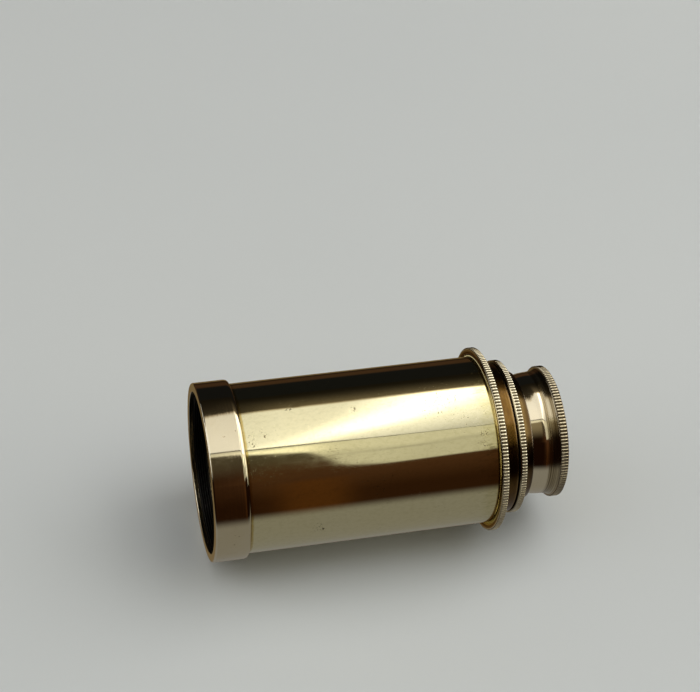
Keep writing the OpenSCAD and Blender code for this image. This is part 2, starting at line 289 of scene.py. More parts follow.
    # dust and handling: specks and smears that change the gloss
    far, tone = g.cells(g.moved(at, (0.4, 0.4, 0.1)), 1250.0)
    pick = g.node("ShaderNodeSeparateColor")
    g.put(pick.inputs[0], tone)
    dust = g.fit(g.math("SUBTRACT", far, g.math("MULTIPLY", g.math(
        "POWER", pick.outputs[1], 7.0), 0.17)), 0.0, 0.03, 1.0, 0.0)
    dust = g.math("MULTIPLY", dust, g.math("GREATER_THAN", pick.outputs[1], 0.62))
    smear = g.noise(g.scaled(at, (90.0, 200.0, 200.0)), 1.0, 6.0, 0.7, 0.8)
    hair = g.noise(g.scaled(at, (60.0, 5200.0, 5200.0)), 1.0, 2.0, 0.5)
    if drag:  # long rub marks where the tube runs in its felt
        colour = g.blend(g.fit(lines, 0.5, 0.72, 0.0, drag), colour, (0.60, 0.47, 0.20))
    colour = g.blend(g.math("MULTIPLY", crevice, 0.6), colour, (0.20, 0.12, 0.04))
    colour = g.blend(inside, colour, (0.018, 0.017, 0.016))
    gloss = g.fit(smear, 0.42, 0.78, 0.045, 0.095)
    gloss = g.math("ADD", gloss, g.fit(hair, 0.55, 0.8, 0.0, 0.035))
    gloss = g.math("ADD", gloss, g.fit(mottle, 0.45, 0.72, 0.0, 0.02))
    gloss = g.math("ADD", gloss, g.math("MULTIPLY", built, 0.03))
    gloss = g.math("ADD", gloss, g.math("MULTIPLY", stain, 0.10))
    gloss = g.lerp(g.math("MULTIPLY", dust, 0.7), gloss, 0.30)
    gloss = g.lerp(pit, gloss, 0.22)
    gloss = g.lerp(inside, gloss, 0.55)
    height = g.math("ADD", g.math("MULTIPLY", lines, 0.55), g.math("MULTIPLY", cloud, 0.5))
    normal = g.bump(height, 0.0000022, 1.0)
    normal = g.bump(g.math("SUBTRACT", 1.0, pit), 0.000012, 0.4, normal)
    p = g.shader(Base_Color=colour, Metallic=1.0, Roughness=gloss, Normal=normal)
    p.inputs["Coat Weight"].default_value = 0.35
    p.inputs["Coat Roughness"].default_value = 0.03
    p.inputs["Coat IOR"].default_value = 1.48
    return g.material


def polished_brass(name, tint=(0.77, 0.68, 0.475), turning=1.0, tarnish=0.3, gloss=0.06,
                   black_and_shade_inside=None, groove=None, aged=None, lined=None):
    """Turned and polished brass, paler than the tube: fine turning lines round the axis, brown
    tarnish in corners, grime and painted shade in knurl grooves, brighter edges. All places are in
    mm.
    groove = (x0, x1, root, crest); black_and_shade_inside = [(radius, x0, x1)], dull black up to a
    radius, for blackened bores and for painted shade on faces in the gaps between collars;
    aged = [(x0, x1, radius, colour, roughness, left, right, mottle)], lacquered and never
    polished up to a radius, with the share of its width that is painted shade at the left, darker
    towards the part beside it (below 0, at the right), and the width in mm of a painted gold
    highlight at the right end; lined = (x0, x1, amount), coarser tool lines."""
    g = Graph(name)
    at, x, r = g.place()
    crevice, edge = g.wear()

    def between(a, b, soft=0.03):
        return g.math("MULTIPLY", g.fit(x, a - soft, a + soft), g.fit(x, b - soft, b + soft,
                                                                      1.0, 0.0))

    drift = g.noise(g.moved(at, (0.5, 0.2, 0.9)), 90.0, 4.0, 0.6)
    colour = g.blend(g.fit(drift, 0.35, 0.7, 0.0, tarnish), tint,
                     (tint[0] * 0.90, tint[1] * 0.82, tint[2] * 0.66))
    blotch = g.noise(g.scaled(at, (300.0, 180.0, 180.0)), 1.0, 6.0, 0.68, 0.6)
    colour = g.blend(g.fit(blotch, 0.55, 0.8, 0.0, 0.2 + tarnish * 0.4), colour,
                     (tint[0] * 0.74, tint[1] * 0.64, tint[2] * 0.46))

    # lines left by the turning tool, a few hundredths of a millimetre apart
    turned = g.noise(g.scaled(at, (9000.0, 42.0, 42.0)), 1.0, 3.0, 0.65)
    coarse = g.noise(g.scaled(at, (2600.0, 25.0, 25.0)), 1.0, 2.0, 0.5)
    colour = g.blend(g.fit(turned, 0.5, 0.8, 0.0, 0.16 * turning), colour,
                     (tint[0] * 0.6, tint[1] * 0.5, tint[2] * 0.34))

    # tiny specks
    far, tone = g.cells(g.moved(at, (0.1, 0.0, 0.0)), 1100.0)
    pick = g.node("ShaderNodeSeparateColor")
    g.put(pick.inputs[0], tone)
    size = g.math("MULTIPLY", g.math("POWER", pick.outputs[1], 5.0), 0.17)
    pit = g.fit(g.math("SUBTRACT", far, size), 0.0, 0.04, 1.0, 0.0)
    pit = g.math("MULTIPLY", pit, g.math("GREATER_THAN", pick.outputs[1], 0.5))
    colour = g.blend(g.math("MULTIPLY", pit, 0.6), colour, (0.22, 0.14, 0.06))

    rough = g.fit(g.noise(g.scaled(at, (150.0, 150.0, 150.0)), 1.0, 6.0, 0.7, 1.0),
                  0.4, 0.78, gloss, gloss + 0.06)
    rough = g.math("ADD", rough, g.fit(turned, 0.45, 0.8, 0.0, 0.06 * turning))
    lines = g.noise(g.scaled(at, (5200.0, 16.0, 16.0)), 1.0, 2.0, 0.6)
    line_here = 0.0
    if lined:
        x0, x1, amount = lined
        line_here = here = g.math("MULTIPLY", between(x0, x1, 0.25), amount)
        band = g.noise(g.scaled(at, (1500.0, 30.0, 30.0)), 1.0, 2.0, 0.6)
        dull = g.math("MULTIPLY", g.fit(g.math("ADD", lines, g.math(
            "MULTIPLY", g.math("SUBTRACT", band, 0.5), 0.8)), 0.36, 0.64), here)
        colour = g.blend(g.math("MULTIPLY", here, 0.6), colour,
                         (tint[0] * 0.64, tint[1] * 0.60, tint[2] * 0.50))
        colour = g.blend(dull, colour, (tint[0] * 0.26, tint[1] * 0.22, tint[2] * 0.15))
        rough = g.math("ADD", rough, g.math("MULTIPLY", here, 0.10))
    old_all, calm = 0.0, 0.0
    for x0, x1, radius, brown, dullness, left, right, mottle in aged or ():
        here = g.math("MULTIPLY", between(x0, x1), g.fit(r, radius - 0.02, radius + 0.02,
                                                         1.0, 0.0))
        old_all = here if old_all == 0.0 else g.math("MAXIMUM", old_all, here)
        calm = g.math("MAXIMUM", calm, g.math("MULTIPLY", here, 1.0 - mottle))
        patch = g.noise(g.scaled(at, (700.0, 260.0, 260.0)), 1.0, 5.0, 0.7)
        aged_shade_highlight = g.blend(g.fit(patch, 0.35, 0.7, 0.0, mottle), brown,
                      (brown[0] * 0.62, brown[1] * 0.55, brown[2] * 0.46))
        aged_shade_highlight = g.blend(g.fit(lines, 0.45, 0.75, 0.0, 0.55 * mottle), aged_shade_highlight,
                      (brown[0] * 0.45, brown[1] * 0.36, brown[2] * 0.28))
        # painted shade: the aged band darkens towards the part beside it, at its left end (at its
        # right end when left is below 0)
        if left:
            a, b = (x0, 1.0) if left > 0 else (x1, -1.0)
            b = b * (x1 - x0) * abs(left)
            near = g.math("SUBTRACT", x, a)
            aged_shade_highlight = g.blend(g.fit(g.math("DIVIDE", near, b), 0.3, 1.0, 0.8, 0.0),
                          aged_shade_highlight, (brown[0] * 0.30, brown[1] * 0.24, brown[2] * 0.20))
        # painted highlight: a gold line with a ragged edge along the rounded right end of the aged
        # band
        if right:
            ragged_highlight_edge = g.math("MULTIPLY", g.math("SUBTRACT", patch, 0.5), right)
            aged_shade_highlight = g.blend(g.fit(g.math("ADD", x, ragged_highlight_edge), x1 - right * 1.25, x1 - right * 0.6,
                                0.0, 0.85), aged_shade_highlight, (0.26, 0.135, 0.02))
        colour = g.blend(here, colour, aged_shade_highlight)
        rough = g.lerp(here, rough, g.fit(patch, 0.3, 0.7, dullness * 0.8, dullness * 1.25))

    # brown patina in corners, grime and painted shade in knurl grooves, bright worn edges
    ragged = g.noise(at, 2400.0, 4.0, 0.65)
    grime_and_shade = g.math("MULTIPLY", crevice, g.fit(ragged, 0.25, 0.6, 0.55, 1.0))
    grime_and_shade = g.math("MULTIPLY", grime_and_shade, g.math("SUBTRACT", 1.0, calm))
    colour = g.blend(g.math("MULTIPLY", grime_and_shade, 0.86), colour, (0.085, 0.05, 0.02))
    colour = g.blend(g.math("MULTIPLY", edge, g.math("SUBTRACT", 0.45, g.math(
        "MULTIPLY", calm, 0.4))), colour, (0.92, 0.86, 0.72))
    # grime and painted shade: the knurl grooves go near-black from about half their depth down to
    # the root
    if groove:
        x0, x1, root, crest = groove
        low = g.fit(r, root + (crest - root) * 0.28, root + (crest - root) * 0.74, 1.0, 0.0)
        low = g.math("MULTIPLY", low, g.math("MULTIPLY", between(x0, x1, 0.02),
                                             g.math("GREATER_THAN", r, root - 0.06)))
        low = g.math("MULTIPLY", low, g.fit(ragged, 0.2, 0.6, 0.8, 1.0))
        colour = g.blend(g.math("MULTIPLY", low, 0.95), colour, (0.035, 0.018, 0.006))
        grime_and_shade = g.math("MAXIMUM", grime_and_shade, low)
    rough = g.lerp(grime_and_shade, rough, 0.55)
    rough = g.lerp(pit, rough, 0.2)
    # dull black: blackened bores, and painted shade on the end faces in the gaps between collars
    if black_and_shade_inside is not None:
        for radius, a, b in black_and_shade_inside:
            dark = g.math("MULTIPLY", g.fit(r, radius - 0.03, radius + 0.03, 1.0, 0.0),
                          g.math("MULTIPLY", g.math("GREATER_THAN", x, a),
                                 g.math("LESS_THAN", x, b)))
            colour = g.blend(dark, colour, (0.022, 0.02, 0.018))
            rough = g.lerp(dark, rough, 0.48)
    normal = g.bump(turned, 0.0000012 * turning, 1.0)
    normal = g.bump(coarse, 0.000004 * turning, 1.0, normal)
    if lined or aged:
        cut = g.math("MULTIPLY", lines, g.math("MAXIMUM", line_here, old_all))
        normal = g.bump(cut, 0.000012, 1.0, normal)
    normal = g.bump(g.math("SUBTRACT", 1.0, pit), 0.000006, 0.4, normal)
    p = g.shader(Base_Color=colour, Metallic=1.0, Roughness=rough, Normal=normal)
    p.inputs["Coat Weight"].default_value = 0.12
    p.inputs["Coat Roughness"].default_value = 0.05
    return g.material


def blackened_brass(name):
    """Chemically blackened turned brass, rubbed to bare metal along its edges."""
    g = Graph(name)
    at, x, r = g.place()
    crevice, edge = g.wear()
    patch = g.noise(at, 420.0, 5.0, 0.65)
    turned = g.noise(g.scaled(at, (6000.0, 60.0, 60.0)), 1.0, 3.0, 0.6)
    colour = g.blend(g.fit(patch, 0.35, 0.7), (0.020, 0.019, 0.018), (0.045, 0.038, 0.030))
    chip = g.noise(at, 3800.0, 4.0, 0.7)
    bare = g.math("MULTIPLY", edge, g.fit(chip, 0.46, 0.6))
    colour = g.blend(g.math("MULTIPLY", bare, 0.8), colour, (0.55, 0.42, 0.20))
    rough = g.fit(patch, 0.3, 0.7, 0.38, 0.55)
    rough = g.lerp(bare, rough, 0.22)
    normal = g.bump(turned, 0.000006, 1.0)
    g.shader(Base_Color=colour, Metallic=0.85, Roughness=rough, Normal=normal)
    return g.material


def lining_felt(name):
    """Dense dark felt: short crossing fibres, some lint."""
    g = Graph(name)
    at, x, r = g.place()
    fibre = g.noise(g.scaled(at, (5200.0, 2100.0, 2100.0)), 1.0, 6.0, 0.75, 1.2)
    tuft = g.noise(at, 900.0, 4.0, 0.6)
    colour = g.blend(g.fit(fibre, 0.35, 0.7), (0.010, 0.010, 0.014), (0.045, 0.044, 0.055))
    colour = g.blend(g.fit(tuft, 0.62, 0.75, 0.0, 0.5), colour, (0.10, 0.095, 0.09))
    rough = g.fit(fibre, 0.3, 0.7, 0.86, 1.0)
    normal = g.bump(fibre, 0.00006, 0.9)
    p = g.shader(Base_Color=colour, Roughness=rough, Normal=normal)
    p.inputs["Sheen Weight"].default_value = 0.5
    p.inputs["Sheen Roughness"].default_value = 0.5
    return g.material


def optical_glass(name, tint=(0.975, 0.99, 0.98)):
    """Polished lens glass with a little dust and a faint wipe mark; the edge is ground."""
    g = Graph(name)
    at, x, r = g.place()
    far, tone = g.cells(at, 1300.0)
    pick = g.node("ShaderNodeSeparateColor")
    g.put(pick.inputs[0], tone)
    speck = g.fit(g.math("SUBTRACT", far, g.math("MULTIPLY",
                  g.math("POWER", pick.outputs[2], 9.0), 0.16)), 0.0, 0.03, 1.0, 0.0)
    wipe = g.noise(g.scaled(at, (400.0, 900.0, 120.0)), 1.0, 5.0, 0.7, 0.6)
    crevice, edge = g.wear()
    rough = g.fit(wipe, 0.6, 0.9, 0.0, 0.003)
    rough = g.lerp(speck, rough, 0.4)
    rough = g.lerp(edge, rough, 0.55)
    colour = g.blend(speck, tint, (0.7, 0.68, 0.64))
    p = g.shader(Base_Color=colour, Roughness=rough)
    p.inputs["Transmission Weight"].default_value = 1.0
    p.inputs["IOR"].default_value = 1.52
    return g.material


# ---------------------------------------------------------------- turned shapes

def outline(corners, steps=4, hold=0.03, longest=None):
    """Rounds the corners of a closed outline. corners are (x, r, fillet) in mm, anticlockwise
    with x to the right and r upwards. Gives points (x, r, crevice, edge), with support points
    beside every fillet so that flat faces stay flat when shaded smooth."""
    n = len(corners)
    arcs = []
    for i in range(n):
        p = np.array(corners[i][:2], float)
        a = np.array(corners[i - 1][:2], float)
        b = np.array(corners[(i + 1) % n][:2], float)
        la, lb = np.linalg.norm(p - a), np.linalg.norm(b - p)
        d1, d2 = (p - a) / la, (b - p) / lb
        f = corners[i][2]
        turn_by = math.atan2(d1[0] * d2[1] - d1[1] * d2[0], float(d1 @ d2))
        if f <= 0 or abs(turn_by) < 0.02:
            arcs.append([(p, 0.0, 0.0)])
            continue
        t = min(f * math.tan(abs(turn_by) / 2), 0.46 * la, 0.46 * lb)
        f = t / math.tan(abs(turn_by) / 2)
        side = np.array([-d1[1], d1[0]]) * (1 if turn_by > 0 else -1)
        start = p - d1 * t
        c = start + side * f
        k = max(2, steps if f < 0.3 else steps + 3)
        made = []
        for j in range(k + 1):
            w = turn_by * j / k
            v = start - c
            q = c + np.array([v[0] * math.cos(w) - v[1] * math.sin(w),
                              v[0] * math.sin(w) + v[1] * math.cos(w)])
            sharp = min(1.0, abs(turn_by) / 1.2)
            made.append((q, sharp if turn_by < 0 else 0.0, sharp if turn_by > 0 else 0.0))
        arcs.append(made)
    points = []
    for i in range(n):
        here, after = arcs[i], arcs[(i + 1) % n]
        points += [(q[0], q[1], c, e) for q, c, e in here]
        p, cp, ep = here[-1]
        q, cq, eq = after[0]
        length = float(np.linalg.norm(q - p))
        if length < 1e-9:
            continue
        d = (q - p) / length
        stops = []
        if len(here) > 1 and length > 3 * hold:
            stops.append((hold, cp * 0.75, ep * 0.35))
            if length > 0.7:
                stops.append((0.22, cp * 0.22, 0.0))
        tail = []
        if len(after) > 1 and length > 3 * hold:
            tail.append((length - hold, cq * 0.75, eq * 0.35))
            if length > 0.7:
                tail.insert(0, (length - 0.22, cq * 0.22, 0.0))
        if longest:
            s0 = stops[-1][0] if stops else 0.0
            s1 = tail[0][0] if tail else length
            m = int((s1 - s0) / longest)
            stops += [(s0 + (s1 - s0) * j / (m + 1), 0.0, 0.0) for j in range(1, m + 1)]
        points += [(p[0] + d[0] * s, p[1] + d[1] * s, c, e) for s, c, e in stops + tail]
    return points


# one tooth of a knurl: places along its pitch, and the height there; a rounded crest
# between steep flanks
TOOTH_U = (0.0, 0.06, 0.13, 0.21, 0.33, 0.5, 0.67, 0.79, 0.87, 0.94)
TOOTH_H = (0.0, 0.06, 0.65, 0.80, 0.935, 1.0, 0.935, 0.80, 0.65, 0.06)
TOOTH_END = ((0.010, 0.40), (0.030, 0.76), (0.065, 0.93), (0.12, 1.0))


def knurled(x0, x1, inner0, inner1, root, crest, left, right, chamfer=(0.15, 0.15), rim=False):
    """Rings of a knurled band for turned(), from its right flank over the top to its left flank.
    root and crest are the radii of the grooves and of the teeth; left and right are the smooth
    widths before the teeth at each end, chamfer their drop at the flank. With rim, the left
    width is a plain rim as high as the teeth."""
    h = crest - root
    wl, wr = left, right
    cl, cr = chamfer
    slope = ((0.0, -1.0), (0.12, -0.78), (0.36, -0.46), (0.68, -0.16), (1.0, 0.0))
    down = []
    # right flank, upwards
    down.append((x1, inner1, 0.0, 0.0, 0.0, False))
    down.append((x1, root - cr - 0.16, 0.0, 0.0, 0.0, False))
    down.append((x1, root - cr - 0.10, 0.0, 0.2, 0.0, True))
    for s, q in slope:
        down.append((x1 - wr * s, root + cr * q, 0.0, 0.5, 0.0, True))
    for s, a in TOOTH_END:
        down.append((x1 - wr - s, root, 0.0, 0.2 * (1 - a), h * a, True))
    span = (x1 - wr - 0.12) - (x0 + wl + 0.12)
    for s in (0.25, 0.5, 0.75):
        down.append((x1 - wr - 0.12 - span * s, root, 0.0, 0.0, h, True))
    if rim:
        down.append((x0 + wl + 0.12, root, 0.0, 0.0, h, True))
        for s, a in ((0.070, 0.06), (0.035, 0.32), (0.012, 0.80), (0.0, 1.0)):
            down.append((x0 + wl + s, root + (h - 0.01) * a, 0.0, 0.0, h * (1 - a), True))
        for s, q in ((0.75, 0.01), (0.45, 0.014), (0.30, 0.022), (0.20, 0.045), (0.10, 0.09),
                     (0.03, 0.15), (0.0, 0.22)):
            down.append((x0 + wl * s, crest - q, 0.0, 0.6 if s < 0.5 else 0.1, 0.0, True))
        down.append((x0, crest - 0.30, 0.0, 0.1, 0.0, True))
        down.append((x0, crest - 0.36, 0.0, 0.0, 0.0, False))
    else:
        for s, a in reversed(TOOTH_END):
            down.append((x0 + wl + s, root, 0.0, 0.2 * (1 - a), h * a, True))
        for s, q in reversed(slope):
            down.append((x0 + wl * s, root + cl * q, 0.0, 0.5, 0.0, True))
        down.append((x0, root - cl - 0.10, 0.0, 0.2, 0.0, True))
        down.append((x0, root - cl - 0.16, 0.0, 0.0, 0.0, False))
    down.append((x0, inner0, 0.0, 0.0, 0.0, False))
    return down


def turned(name, rings, seg, teeth=0, seed=1, ripple=None):
    """A closed turned body. rings are (x, r, crevice, edge[, tooth height, many]) in mm; a ring
    marked many has ten points for each tooth. ripple(x, angle) adds to the radius, in mm."""
    rng = np.random.default_rng(seed)
    low = teeth * 10 // 4 if teeth else seg
    uneven = 1.0 - 0.05 * rng.random(max(teeth, 1)) ** 2
    for k in rng.integers(0, max(teeth, 1), max(teeth, 1) // 24):
        uneven[k] -= 0.10 * rng.random()
    slip = (rng.random(max(teeth, 1)) - 0.5) * 0.02
    lean = (rng.random(max(teeth, 1)) - 0.5) * 0.04
    full = [(*p, 0.0, False)[:6] if len(p) < 6 else p for p in rings]
    verts, marks, counts, starts = [], [], [], []
    for x, r, crevice, edge, height, many in full:
        starts.append(len(verts))
        if many:
            m = teeth * 10
            j = np.arange(m)
            t, k = j // 10, j % 10
            u = np.array(TOOTH_U)[k]
            angle = 2 * math.pi * (t + u + slip[t] * (u > 0)) / teeth
            rise = np.array(TOOTH_H)[k] * uneven[t] + lean[t] * (u - 0.5) * (u > 0.2) * (u < 0.8)
            radius = r + height * rise
            deep = np.full(m, crevice)
        else:
            m = low
            angle = 2 * math.pi * np.arange(m) / m
            radius = np.full(m, r)
            deep = np.full(m, crevice)
        if ripple is not None:
            radius = radius + ripple(x, angle)
        counts.append(m)
        verts += list(zip(np.full(m, x) * MM, radius * np.cos(angle) * MM,
                          radius * np.sin(angle) * MM))
        marks += list(zip(deep, np.full(m, edge), np.zeros(m)))
    faces = []
    n = len(full)
    for i in range(n):
        a, b = i, (i + 1) % n
        sa, sb, ma, mb = starts[a], starts[b], counts[a], counts[b]
        if ma == mb:
            j = np.arange(ma)
            k = (j + 1) % ma
            faces += np.stack([sa + j, sa + k, sb + k, sb + j], 1).tolist()
        elif ma < mb:
            q = mb // ma
            for j in range(ma):
                faces.append([sa + j, sa + (j + 1) % ma]
                             + [sb + (q * (j + 1) - s) % mb for s in range(q + 1)])
        else:
            q = ma // mb
            for j in range(mb):
                faces.append([sa + (q * j + s) % ma for s in range(q + 1)]
                             + [sb + (j + 1) % mb, sb + j])
    mesh = bpy.data.meshes.new(name)
    mesh.from_pydata(verts, [], faces)
    made = mesh.attributes.new("wear", "FLOAT_VECTOR", "POINT")
    made.data.foreach_set("vector", np.array(marks, np.float32).ravel())
    bm = bmesh.new()
    bm.from_mesh(mesh)
    bmesh.ops.recalc_face_normals(bm, faces=bm.faces)
    bm.to_mesh(mesh)
    bm.free()
    mesh.shade_smooth()
    mesh.update()
    obj = bpy.data.objects.new(name, mesh)
    scene.collection.objects.link(obj)
    return obj


def solid_of_turn(name, curve, seg=256):
    """A turned body that meets its axis at both ends, such as a lens. curve is a list of
    (x, r, edge) from the axis to the axis."""
    verts, faces, marks = [], [], []
    inner = curve[1:-1]
    angle = 2 * math.pi * np.arange(seg) / seg
    for x, r, edge in inner:
        verts += list(zip(np.full(seg, x) * MM, r * np.cos(angle) * MM, r * np.sin(angle) * MM))
        marks += [(0.0, edge, 0.0)] * seg
    first, last = len(verts), len(verts) + 1
    verts += [(curve[0][0] * MM, 0.0, 0.0), (curve[-1][0] * MM, 0.0, 0.0)]
    marks += [(0.0, 0.0, 0.0)] * 2
    for i in range(len(inner) - 1):
        for j in range(seg):
            k = (j + 1) % seg
            faces.append([i * seg + j, i * seg + k, (i + 1) * seg + k, (i + 1) * seg + j])
    for j in range(seg):
        k = (j + 1) % seg
        faces.append([first, k, j])
        faces.append([last, (len(inner) - 1) * seg + j, (len(inner) - 1) * seg + k])
    mesh = bpy.data.meshes.new(name)
    mesh.from_pydata(verts, [], faces)
    made = mesh.attributes.new("wear", "FLOAT_VECTOR", "POINT")
    made.data.foreach_set("vector", np.array(marks, np.float32).ravel())
    bm = bmesh.new()
    bm.from_mesh(mesh)
    bmesh.ops.recalc_face_normals(bm, faces=bm.faces)
    bm.to_mesh(mesh)
    bm.free()
    mesh.shade_smooth()
    obj = bpy.data.objects.new(name, mesh)
    scene.collection.objects.link(obj)
    return obj


def add(obj, body, material, slot, *nodes):
    obj.data.materials.clear()
    obj.data.materials.append(material)
    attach(obj, body)
    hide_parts(*nodes)
    return obj


def ripple_of(seed, size, dents=()):
    """Slow unevenness of a drawn tube, a few thousandths of a millimetre, and small dents:
    (x mm, angle from straight up towards -Y, depth mm, reach mm, radius mm)."""
    rng = np.random.default_rng(seed)
    waves = [(rng.integers(2, 10), rng.uniform(-0.28, 0.28), rng.uniform(0, 2 * math.pi),
              rng.uniform(0.4, 1.0)) for _ in range(14)]

    def at(x, angle):
        total = 0.0
        for m, k, phase, a in waves:
            total = total + a / m * np.sin(m * angle + k * x + phase)
        total = size * total
        for place, turn, depth, reach, radius in dents:
            # the mesh angle runs from +Y to +Z
            off = (angle - math.radians(90 + turn) + math.pi) % (2 * math.pi) - math.pi
            total = total - depth * np.exp(-((x - place) ** 2 + (radius * off) ** 2) / reach ** 2)
        return total
    return at


# ---------------------------------------------------------------- the telescope

BRASS, POLISHED, BLACK, GLASS, FELT = (
    "lacquered_brass", "polished_brass", "blackened_brass", "lens_glass", "lining_felt")
black = blackened_brass("blackened_turned_brass")
glass = optical_glass("lens_glass_clean")
felt = lining_felt("dark_lining_felt")

# barrel
add(turned("barrel_tube_drawn", outline([
    (3.4, 17.35, 0.08), (60.8, 17.35, 0.08), (60.8, 18.15, 0.09), (3.4, 18.15, 0.08)],
    longest=0.6), 600, ripple=ripple_of(3, 0.007, [
        (19.4, 2.5, 0.012, 0.8, 18.15), (21.2, 1.0, 0.006, 0.6, 18.15),
        (18.2, 8.0, 0.004, 0.4, 18.15), (31.3, 13.0, 0.004, 0.5, 18.15),
        (44.0, -60.0, 0.012, 1.2, 18.15), (27.0, 150.0, 0.015, 1.4, 18.15)])),
    "barrel", lacquered_brass("barrel_brass_lacquered", 18.15,
                              [(7.47, 0.85, 0.30, (0.56, 0.41, 0.10)),
                               (60.8, 0.80, 0.06, (0.78, 0.63, 0.20))],
                              worn=[(9.4, 22.5, 1.3, 0.9), (9.3, 27.5, 1.6, 1.0),
                                    (12.1, 22.0, 1.6, 0.8), (18.2, 5.5, 1.5, 0.5),
                                    (31.3, 12.5, 1.5, 0.7), (57.9, 39.0, 1.7, 0.8),
                                    (57.4, 46.0, 1.3, 0.8), (58.6, 24.0, 1.5, 0.6),
                                    (53.0, 13.0, 1.2, 0.6), (24.0, -18.0, 1.6, 0.7),
                                    (14.0, -80.0, 2.5, 0.8), (40.0, 130.0, 3.0, 0.7),
                                    (47.0, -130.0, 2.0, 0.7), (22.0, 95.0, 2.0, 0.7)]),
    BRASS, "barrel_tube")

thread = [(1.2, 17.3, 0.03), (1.2, 16.88, 0.05)]
for i in range(4):
    x = 1.2 + 0.5 * i
    thread += [(x + 0.08, 16.88, 0.04), (x + 0.28, 17.2, 0.03), (x + 0.46, 16.88, 0.04)]
add(turned("objective_bezel_turned", outline(
    [(0.0, 17.3, 0.12)] + thread
    + [(3.4, 16.88, 0.05), (3.4, 18.15, 0.05), (7.47, 18.15, 0.03)]
    + [(7.05 + 0.42 * math.cos(math.radians(a)), 18.662 + 0.42 * math.sin(math.radians(a)), 0.0)
       for a in (0, 12, 24, 35, 45, 54, 62, 68)]
    + [(6.562 + 2.0 * math.cos(math.radians(a)), 17.16 + 2.0 * math.sin(math.radians(a)), 0.0)
       for a in (72, 75, 78, 81, 84, 87, 89)]
    + [(6.45, 19.16, 0.0), (6.2, 19.16, 0.0), (0.0, 19.16, 0.35)], longest=0.8),
    520, ripple=ripple_of(5, 0.004)),
    "barrel", polished_brass("bezel_brass_polished", (0.77, 0.678, 0.475), 0.5, 0.22, 0.05,
                             black_and_shade_inside=[(17.42, 0.9, 4.0)]),
    POLISHED, "objective_bezel")

add(turned("objective_cell_turned", outline([
    (3.4, 16.1, 0.1), (9.8, 16.1, 0.05), (9.8, 15.2, 0.05), (10.2, 14.8, 0.05),
    (10.6, 14.8, 0.05), (10.6, 17.35, 0.05), (3.4, 17.35, 0.1)]), 320),
    "barrel", black, BLACK, "objective_cell")

# the retaining ring, with its two spanner slots cut in afterwards
ring = turned("objective_retaining_ring_turned", outline([
    (4.0, 14.9, 0.12), (5.68, 14.9, 0.06), (5.68, 16.1, 0.04), (4.0, 16.1, 0.12)]), 320)
for side in (-1, 1):
    cut = bpy.data.meshes.new("slot_cutter")
    bm = bmesh.new()
    bmesh.ops.create_cube(bm, size=1.0, matrix=Matrix.Translation(
        (4.1 * MM, side * 15.5 * MM, 0)) @ Matrix.Diagonal((1.2 * MM, 2.0 * MM, 1.2 * MM, 1)))
    bm.to_mesh(cut)
    bm.free()
    knife = bpy.data.objects.new("slot_cutter", cut)
    scene.collection.objects.link(knife)
    mod = ring.modifiers.new("slot", "BOOLEAN")
    mod.operation, mod.object, mod.solver = "DIFFERENCE", knife, "EXACT"
    bpy.context.view_layer.update()
    shaped = bpy.data.meshes.new_from_object(
        ring.evaluated_get(bpy.context.evaluated_depsgraph_get()))
    ring.modifiers.clear()
    ring.data = shaped
    bpy.data.objects.remove(knife)
ring.data.name = "objective_retaining_ring_turned"
add(ring, "barrel", black, BLACK, "objective_retaining_ring")

add(turned("barrel_baffle_turned", outline([
    (11.2, 12.5, 0.04), (11.5, 12.5, 0.04), (11.9, 15.5, 0.1), (11.9, 17.35, 0.05),
    (11.2, 17.35, 0.05)]), 256), "barrel", black, BLACK, "barrel_baffle")


def sag(R, h):
    return R - math.sqrt(R * R - h * h)


def lens(name, front, back, radius, body, node, steps=20):
    """front(h) and back(h) give x in mm at height h."""
    curve = [(front(0.0), 0.0, 0.0)]
    top = radius - 0.18
    for i in range(1, steps + 1):
        h = top * i / steps
        curve.append((front(h), h, 0.0))
    f, b = front(radius), back(radius)
    small = min(0.15, (b - f) * 0.3)
    curve += [(front(top + 0.03), top + 0.03, 1.0), (f + small, radius, 1.0),
              (b - small, radius, 1.0), (back(top + 0.03), top + 0.03, 1.0)]
    for i in range(steps, 0, -1):
        h = top * i / steps
        curve.append((back(h), h, 0.0))
    curve.append((back(0.0), 0.0, 0.0))
    return add(solid_of_turn(name, curve), body, glass, GLASS, node)


lens("objective_crown_lens_ground", lambda h: 4.2 + sag(75, h), lambda h: 8.79 - sag(65, h),
     16.05, "barrel", "objective_crown_lens")
lens("objective_flint_lens_ground", lambda h: 8.81 - sag(65, h), lambda h: 9.8,
     16.05, "barrel", "objective_flint_lens")

# barrel collar: bore with a felt pocket, neck, knurled ring, sleeve
R1, D1 = 20.07, 0.30
collar = outline([
    (55.0, 15.2, 0.1), (56.0, 15.2, 0.05), (56.0, 15.75, 0.04), (64.75, 15.75, 0.04),
    (64.75, 15.2, 0.05), (65.45, 15.2, 0.14), (65.45, 16.12, 0.12), (65.34, 16.36, 0.16),
    (65.1, 16.44, 0.3), (62.25, 16.89, 0.14), (62.25, 18.2, 0.0),
    (60.8, 18.3, 0.0), (60.8, 17.35, 0.05), (55.3, 17.35, 0.1), (55.0, 17.05, 0.1)],
    longest=0.8)
cut_at = [i for i, p in enumerate(collar) if abs(p[1] - 18.2) < 1e-6 and p[0] > 62.2][0]
rings = [(*p, 0.0, False) for p in collar[:cut_at]]
rings += knurled(60.8, 62.25, 18.3, 18.2, R1 - D1, R1, 0.06, 0.13, (0.05, 0.12))
rings += [(*p, 0.0, False) for p in collar[cut_at + 2:]]
